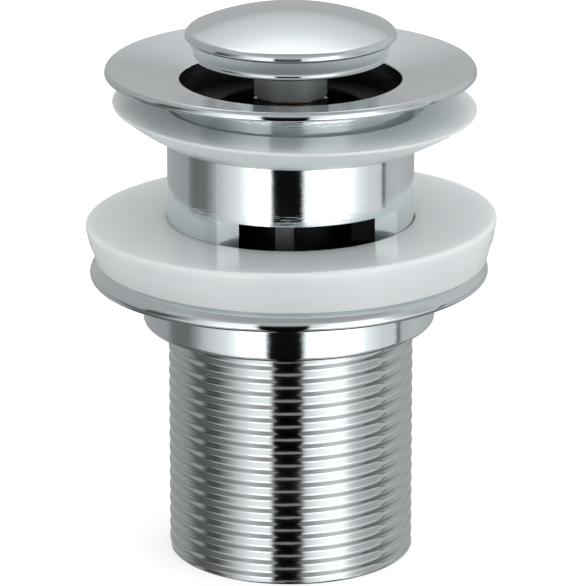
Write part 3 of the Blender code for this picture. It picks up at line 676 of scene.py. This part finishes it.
def make_nut(finish, turned_finish):
    """Round backnut: flange with a rounded shoulder, plain hub, and a thread that matches the tail's."""
    edge = arc((NUT_FLANGE_R - NUT_EDGE_ABOVE, NUT_EDGE_Z), NUT_EDGE_ABOVE, 0, 45, 10)
    mouth_r = THREAD_R + NUT_MOUTH
    outside = [
        *arc((NUT_HUB_R - NUT_HUB_CORNER, NUT_FOOT + NUT_HUB_CORNER), NUT_HUB_CORNER, -90, 0, 6),
        *arc((NUT_HUB_R + NUT_FILLET, NUT_FLANGE_FOOT - NUT_FILLET), NUT_FILLET, 180, 90, 4),
        *arc((NUT_FLANGE_R - NUT_EDGE_BELOW, NUT_EDGE_Z), NUT_EDGE_BELOW, -88, -8, 7),
        *edge,
        (edge[-1][0] - (NUT_TOP - edge[-1][1]), NUT_TOP),
    ]

    def radius_at(depth, height):
        lead = max(NUT_FOOT + NUT_LEAD - height, height - NUT_TOP + NUT_LEAD, 0.0)
        return max(THREAD_R + THREAD_PLAY - THREAD_DEPTH * depth, THREAD_R - THREAD_DEPTH + lead)

    def column(turn):
        inside = thread_rows(turn, NUT_FOOT, NUT_TOP, radius_at)
        return [(mouth_r, NUT_FOOT), *outside, (mouth_r, NUT_TOP), *reversed(inside)]

    nut = skinned("round_backnut", column, LARGE, finish)
    nut.data.materials.append(turned_finish)
    for face in nut.data.polygons:
        if face.center.z / MM < NUT_FLANGE_FOOT - NUT_FILLET:
            face.material_index = 1
    for vertex in nut.data.vertices:
        vertex.co.z += vertex.co.x * math.tan(math.radians(NUT_TILT))
        vertex.co.x += NUT_ASIDE * MM
    return seated(smoothed(nut), "nut", "backnut")


def warped(piece, across, back, aside, share_at=lambda height: 1.0):
    """Lifts a soft ring by slopes to the right and back, its rim more than its bore, and moves it aside."""
    rim = max(math.hypot(vertex.co.x, vertex.co.y) for vertex in piece.data.vertices)
    for vertex in piece.data.vertices:
        out = (math.hypot(vertex.co.x, vertex.co.y) / rim) ** 3
        lift = vertex.co.x * math.tan(math.radians(across)) + vertex.co.y * math.tan(math.radians(back))
        vertex.co.z += share_at(vertex.co.z / MM) * out * lift
        vertex.co.x += aside * MM


def make_washer(finish):
    """Thick tapered washer, squeezed so that its right-hand side stands higher."""
    foot_round = WASHER_FOOT_ROUND
    profile = [
        (WASHER_BORE_R, WASHER_TOP_Z), (WASHER_TOP_R - FLAT_RING, WASHER_TOP_Z),
        *arc((WASHER_TOP_R - WASHER_ROUND, WASHER_TOP_Z - WASHER_ROUND), WASHER_ROUND, 90, -6),
        *((WASHER_FOOT_R + out, WASHER_TOP_Z - down) for out, down in WASHER_SIDE),
        *arc((WASHER_FOOT_R - foot_round, WASHER_FOOT_Z + foot_round), foot_round, 0, -90, 4),
        (WASHER_BORE_R, WASHER_FOOT_Z),
    ]
    height = WASHER_TOP_Z - WASHER_FOOT_Z
    washer = turned("thick_washer", profile, finish, MEDIUM)
    warped(washer, *WASHER_TILT, WASHER_ASIDE, lambda z: (z - WASHER_FOOT_Z) / height)
    return seated(smoothed(washer), "under_washer", "tapered_washer")


def make_gasket(finish):
    """Thin upper gasket, slack on the tube: flat face up, thin edge, and a taper down to a narrow foot."""
    edge = arc((GASKET_R - GASKET_CORNER, GASKET_TOP_Z - GASKET_BAND), GASKET_CORNER, 0, -60, 5)
    start_r, start_z = edge[-1]
    taper = [
        (start_r + (GASKET_FOOT_R - start_r) * share,
         start_z + (GASKET_FOOT_Z - start_z) * share - GASKET_BELLY * math.sin(math.pi * share))
        for share in (i / GASKET_STEPS for i in range(1, GASKET_STEPS + 1))
    ]
    profile = [
        (GASKET_BORE_R, GASKET_TOP_Z), (GASKET_R - FLAT_RING, GASKET_TOP_Z),
        *arc((GASKET_R - GASKET_TOP_ROUND, GASKET_TOP_Z - GASKET_TOP_ROUND), GASKET_TOP_ROUND, 90, 0, 3),
        *edge, *taper, (GASKET_BORE_R, GASKET_FOOT_Z),
    ]
    gasket = turned("upper_seal", profile, finish, MEDIUM)
    warped(gasket, *GASKET_TILT, GASKET_ASIDE)
    return seated(smoothed(gasket), "top_gasket", "upper_gasket")


def make_spring(finish):
    """Compression spring with a closed turn at each end, drawn with the plug up."""
    low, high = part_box("return_spring")
    wire_r = SPRING_WIRE / 2
    radius = (high.x - low.x) / 2 / MM - wire_r
    length = (high.z - low.z) / MM
    closed_rise = SPRING_WIRE * SPRING_CLOSED
    open_turns = SPRING_TURNS - 2
    open_rise = (length - SPRING_WIRE - 2 * closed_rise) / open_turns
    shape = bmesh.new()
    rings = []
    for i in range(SPRING_TURNS * SPRING_STEPS + 1):
        turn = i / SPRING_STEPS
        closed = min(turn, 1.0) + max(turn - open_turns - 1, 0.0)
        opened = min(max(turn - 1.0, 0.0), open_turns)
        height = low.z / MM + wire_r + closed * closed_rise + opened * open_rise
        angle = 2 * math.pi * turn
        rings.append([
            shape.verts.new((r * math.cos(angle) * MM, r * math.sin(angle) * MM, z * MM))
            for r, z in arc((radius, height), wire_r, 0, 360 - 360 / WIRE_FACETS, WIRE_FACETS - 1)
        ])
    for here, there in zip(rings, rings[1:]):
        for i, corner in enumerate(here):
            shape.faces.new((here[i - 1], there[i - 1], there[i], corner))
    shape.faces.new(rings[0])
    shape.faces.new(rings[-1])
    bmesh.ops.recalc_face_normals(shape, faces=shape.faces)
    spring = placed("coil_spring", shape, finish)
    seated(smoothed(spring), "waste", "return_spring")
    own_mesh(spring)
    return spring


def make_floor():
    """Plain pale board under the waste. Mirrors look past it at the studio."""
    made, tree = start_material("pale_board")
    seen = add_node(tree, "ShaderNodeLightPath")
    glow = add_node(tree, "ShaderNodeMath", {
        0: seen.outputs["Is Camera Ray"], 1: FLOOR_GLOW}, operation="MULTIPLY")
    shader = add_node(tree, "ShaderNodeBsdfPrincipled", {
        "Base Color": linear("#EDEDED"), "Roughness": 0.9, "Specular IOR Level": 0.0,
        "Emission Color": linear("#FFFFFF"), "Emission Strength": glow.outputs[0],
    })
    add_node(tree, "ShaderNodeOutputMaterial", {"Surface": shader.outputs[0]})
    shape = bmesh.new()
    bmesh.ops.create_circle(shape, cap_ends=True, segments=64, radius=FLOOR_R * MM)
    floor = placed("floor", shape, made)
    floor.location.z = -FLOOR_DROP * MM
    floor.visible_glossy = False


# The studio that the chrome mirrors. Its wall is a ring of panels: (degrees round from the front, brightness)
STUDIO_WALL = [
    (-180, 0.44), (-112, 0.36), (-106, 0.20), (-100, 0.17), (-86, 0.18), (-78, 0.34), (-70, 0.60),
    (-50, 0.92), (-42, 1.25), (-34, 2.20), (-21, 2.20), (-18.3, 1.30), (-16.6, 0.004), (10.4, 0.004),
    (12.2, 1.15), (24, 2.20), (48, 2.20), (60, 1.30), (66, 1.02), (78, 0.76), (93.5, 0.70), (95, 0.08),
    (97.8, 0.08), (99, 0.52), (120, 0.56), (150, 0.46), (180, 0.44),
]
# The same ring above and below the height that an upright mirror sees: dimmer, with wider gaps
STUDIO_WALL_AWAY = [
    (-180, 0.44), (-122, 0.36), (-108, 0.10), (-72, 0.08), (-60, 0.40), (-52, 0.75), (-42, 1.05),
    (-34, 1.20), (-21, 1.20), (-18.3, 0.80), (-16.6, 0.004), (10.4, 0.004), (12.2, 0.80), (24, 1.25),
    (36, 1.50), (50, 1.50), (56, 0.95), (63, 0.65), (78, 0.50), (93, 0.50), (95, 0.05), (98.5, 0.05),
    (100, 0.34), (120, 0.40), (150, 0.44), (180, 0.44),
]
# The table's sheen, also round from the front
STUDIO_SHEEN = [
    (-180, 0.44), (-112, 0.30), (-90, 0.42), (-70, 0.84), (-52, 1.65), (-42, 1.40), (-33, 1.10),
    (-21, 1.10), (-18.3, 0.70), (-16.6, 0.004), (10.4, 0.004), (12.2, 0.60), (25, 1.00), (36, 1.50),
    (46, 2.00), (63, 2.10), (78, 1.20), (93.5, 0.72), (95, 0.10), (97.8, 0.10), (99, 0.52), (150, 0.46),
    (180, 0.44),
]
# How much of the sheen is left towards the middle of the table: (degrees above the horizon, share)
STUDIO_TABLE = [(-90, 0.01), (-75, 0.02), (-69, 0.10), (-64, 0.36), (-50, 0.40), (-40, 0.44)]
# Behind the waste the light grows with height: (degrees above the horizon, brightness)
STUDIO_BACK = [
    (-20, 0.46), (17, 0.476), (21, 0.52), (24, 0.60), (30, 0.70), (36, 0.76), (43, 0.85), (49, 1.00),
    (56, 1.20), (62, 1.35), (90, 1.30),
]
# Over the camera the ceiling darkens towards the middle of the room
STUDIO_FRONT = [(20, 0.66), (36, 0.58), (56, 0.44), (72, 0.37), (80, 0.38), (85, 0.08), (90, 0.06)]
STUDIO_SIDES = (0.40, 0.60)  # the plain side walls beside the back wall, left and right
GAP_TOP = 0.30             # brightness of the ring's dark gaps high up

# Where one part of the studio gives way to the next: where that starts, and where it is complete
EYE_LEVEL = (5.0, 12.0)    # degrees from the height that an upright mirror sees
WALL_TOP = (29.0, 36.0)    # degrees above the horizon, as are the next three
WALL_FOOT = (-40.0, -33.0)
GAP_FADE = (11.0, 19.0)
HORIZON = (-8.0, 2.0)      # behind the waste the back wall starts here
BEHIND = (-0.08, 0.08)     # the part of a direction, whose length is 1, that points back
SIDE_REACH = (0.40, 0.62)  # and the part that points to either side


def room_in_mirrors(tree, way):
    """What the chrome mirrors in each direction: ring of panels, ceiling, back and side walls, and table."""
    right, back = way.outputs["X"], way.outputs["Y"]
    front = add_node(tree, "ShaderNodeMath", {0: back, 1: -1.0}, operation="MULTIPLY")
    angles = []
    for angle in (
        add_node(tree, "ShaderNodeMath", {0: right, 1: front.outputs[0]}, operation="ARCTAN2"),
        add_node(tree, "ShaderNodeMath", {0: way.outputs["Z"]}, operation="ARCSINE"),
    ):
        in_degrees = add_node(tree, "ShaderNodeMath", {
            0: angle.outputs[0], 1: 180 / math.pi}, operation="MULTIPLY")
        angles.append(in_degrees.outputs[0])
    turn, height = angles
    raised = add_node(tree, "ShaderNodeMath", {0: height, 1: CAMERA_DROP}, operation="ADD")
    off_eye_level = add_node(tree, "ShaderNodeMath", {0: raised.outputs[0]}, operation="ABSOLUTE")
    aside = add_node(tree, "ShaderNodeMath", {0: right}, operation="ABSOLUTE")

    fades = {}
    for name, value, (start, whole) in (
        ("ring away", off_eye_level.outputs[0], EYE_LEVEL), ("ceiling", height, WALL_TOP),
        ("wall", height, WALL_FOOT), ("gaps", height, GAP_FADE), ("horizon", height, HORIZON),
        ("behind", back, BEHIND), ("sides", aside.outputs[0], SIDE_REACH),
    ):
        fades[name] = add_node(tree, "ShaderNodeMapRange", {
            "Value": value, "From Min": start, "From Max": whole}, interpolation_type="SMOOTHSTEP").outputs[0]

    levels = []
    for value, reach, stops in (
        (turn, 180.0, STUDIO_WALL), (turn, 180.0, STUDIO_WALL_AWAY), (turn, 180.0, STUDIO_SHEEN),
        (height, 90.0, STUDIO_TABLE), (height, 90.0, STUDIO_BACK), (height, 90.0, STUDIO_FRONT),
    ):
        share = add_node(tree, "ShaderNodeMapRange", {"Value": value, "From Min": -reach, "From Max": reach})
        ramp = add_node(tree, "ShaderNodeValToRGB", {"Fac": share.outputs[0]})
        set_stops(ramp, [((place + reach) / (2 * reach), level) for place, level in stops])
        levels.append(ramp.outputs[0])
    ring, ring_away, sheen, table, back_wall, ceiling = levels

    panels = add_node(tree, "ShaderNodeMix", {
        "Factor": fades["ring away"], "A": ring, "B": ring_away}, data_type="RGBA")
    gaps = add_node(tree, "ShaderNodeMath", {0: fades["gaps"], 1: GAP_TOP}, operation="MULTIPLY")
    wall = add_node(tree, "ShaderNodeMath", {
        0: panels.outputs["Result"], 1: gaps.outputs[0]}, operation="MAXIMUM")
    side_walls = add_node(tree, "ShaderNodeMapRange", {
        "Value": right, "From Min": -1.0, "From Max": 1.0,
        "To Min": STUDIO_SIDES[0], "To Max": STUDIO_SIDES[1]})
    beyond = add_node(tree, "ShaderNodeMix", {
        "Factor": fades["sides"], "A": back_wall, "B": side_walls.outputs[0]}, data_type="RGBA")
    above = add_node(tree, "ShaderNodeMix", {
        "Factor": fades["behind"], "A": ceiling, "B": beyond.outputs["Result"]}, data_type="RGBA")
    back_up = add_node(tree, "ShaderNodeMath", {
        0: fades["behind"], 1: fades["horizon"]}, operation="MULTIPLY")
    up = add_node(tree, "ShaderNodeMath", {0: fades["ceiling"], 1: back_up.outputs[0]}, operation="MAXIMUM")
    room = add_node(tree, "ShaderNodeMix", {
        "Factor": up.outputs[0], "A": wall.outputs[0], "B": above.outputs["Result"]}, data_type="RGBA")
    below = add_node(tree, "ShaderNodeMix", {
        "Factor": 1.0, "A": sheen, "B": table}, data_type="RGBA", blend_type="MULTIPLY")
    whole = add_node(tree, "ShaderNodeMix", {
        "Factor": fades["wall"], "A": below.outputs["Result"], "B": room.outputs["Result"]}, data_type="RGBA")
    return whole.outputs["Result"]


def make_studio():
    """The world: soft light, more of it from the right, white behind the waste, and the mirrored room."""
    world = bpy.data.worlds.new("studio")
    world.use_nodes = True
    bpy.context.scene.world = world
    tree = world.node_tree
    tree.nodes.clear()
    place = add_node(tree, "ShaderNodeTexCoord").outputs["Generated"]
    way = add_node(tree, "ShaderNodeSeparateXYZ", {"Vector": place})
    side = add_node(tree, "ShaderNodeMapRange", {
        "Value": way.outputs["X"], "From Min": -1.0, "From Max": 1.0,
        "To Min": SOFT_LIGHT[0], "To Max": SOFT_LIGHT[1]})
    seen = add_node(tree, "ShaderNodeLightPath")
    soft = add_node(tree, "ShaderNodeMix", {
        "Factor": seen.outputs["Is Camera Ray"], "A": side.outputs[0], "B": grey(BACKGROUND),
    }, data_type="RGBA")
    light = add_node(tree, "ShaderNodeMix", {
        "Factor": seen.outputs["Is Glossy Ray"], "A": soft.outputs["Result"], "B": room_in_mirrors(tree, way),
    }, data_type="RGBA")
    background = add_node(tree, "ShaderNodeBackground", {"Color": light.outputs["Result"], "Strength": 1.0})
    add_node(tree, "ShaderNodeOutputWorld", {"Surface": background.outputs[0]})


def make_camera():
    """A long lens at the photograph's viewing angle."""
    lens = bpy.data.cameras.new("camera")
    lens.lens = CAMERA_LENS
    lens.sensor_width = 36.0
    lens.shift_x, lens.shift_y = CAMERA_SHIFT
    lens.clip_start = 0.01
    lens.clip_end = 20.0
    camera = bpy.data.objects.new("camera", lens)
    drop = math.radians(CAMERA_DROP)
    camera.location = (
        0.0, -CAMERA_DISTANCE * math.cos(drop) * MM, (CAMERA_AIM + CAMERA_DISTANCE * math.sin(drop)) * MM)
    camera.rotation_euler = (math.pi / 2 - drop, 0.0, 0.0)
    bpy.context.scene.collection.objects.link(camera)
    bpy.context.scene.camera = camera


def repaint(finish, *nodes):
    """Gives carried-over nodes their finish."""
    for name in nodes:
        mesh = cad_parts[name].data
        mesh.materials.clear()
        mesh.materials.append(finish)


def dress():
    chrome = make_chrome("bright_chrome_plate", 0.001, 0.03)
    turned_chrome = make_chrome("turned_chrome_plate", 0.018, 0.05)
    faced_chrome = make_chrome("faced_chrome_plate", 0.008, 0.12)
    thread_chrome = make_chrome("unpolished_thread_plate", 0.01, 0.08, "#CFD5D7")
    satin = make_satin_chrome()
    # inside the bore: a dull plate whose near-black tones are painted shade, standing in for the shade down
    # the throat
    dull = make_dull_plate("dull_plate_painted_shade", "#2A2B2C", "#4A4B4B")
    milled = make_dull_plate("milled_face_plate", "#6E6F70", "#868787")
    polythene = make_polythene()
    brass = make_brass()
    steel = make_steel()
    rubber = make_rubber()
    acetal = make_acetal()
    fibre = make_fibre()
    make_body(chrome, {
        "tube": turned_chrome, "inner": dull, "milled": milled, "dish": faced_chrome,
        "thread": thread_chrome,
    })
    make_cap(chrome)
    make_carrier(satin, chrome)
    make_nut(chrome, turned_chrome)
    make_washer(polythene)
    make_gasket(polythene)
    make_spring(steel)
    repaint(brass, "plunger", "cartridge_barrel", "barrel_lock_nut", "barrel_end_plug")
    repaint(steel, "plug_jam_nut", "latch_pin", "thrust_washer")
    repaint(rubber, "plug_seal", "plunger_wiper")
    repaint(acetal, "seal_retainer", "latch_rotor")
    repaint(fibre, "barrel_washer")


dress()
make_floor()
make_studio()
make_camera()
bpy.context.scene.view_settings.view_transform = "Standard"
